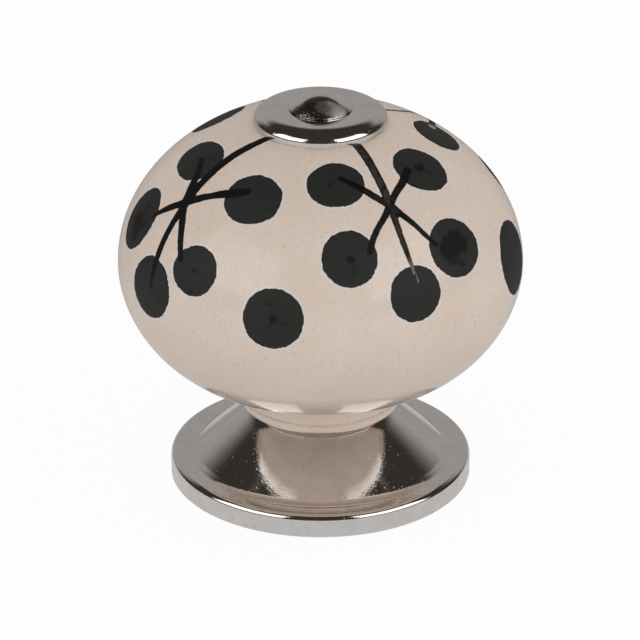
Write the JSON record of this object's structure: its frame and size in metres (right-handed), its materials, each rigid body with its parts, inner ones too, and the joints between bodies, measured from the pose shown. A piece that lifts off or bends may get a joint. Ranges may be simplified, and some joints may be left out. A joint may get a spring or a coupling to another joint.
{
  "type": "cabinet knob",
  "caption": "Round cabinet knob: a painted glazed ceramic ball clamped between a flared chrome base and a small domed chrome cap, fixed by a screw from behind the door.",
  "frame": {"origin": "centre of the base's seating face, which lies on the door or drawer front", "axes": "+Z along the knob's axis, from the door towards the user; the knob is round about it"},
  "size_m": [0.04, 0.04, 0.0409],
  "materials": {
    "glaze": "glossy cream glaze with dark painted dots and stems",
    "chrome": "polished chrome plate",
    "soft_ring": "matt black"
  },
  "bodies": {
    "root": {"ceramic_body": "glaze", "base_rose": "chrome", "foot_ring": "soft_ring", "cap_washer": "chrome", "cap_ring": "soft_ring", "cap_bolt": "chrome"}
  },
  "joints": []
}
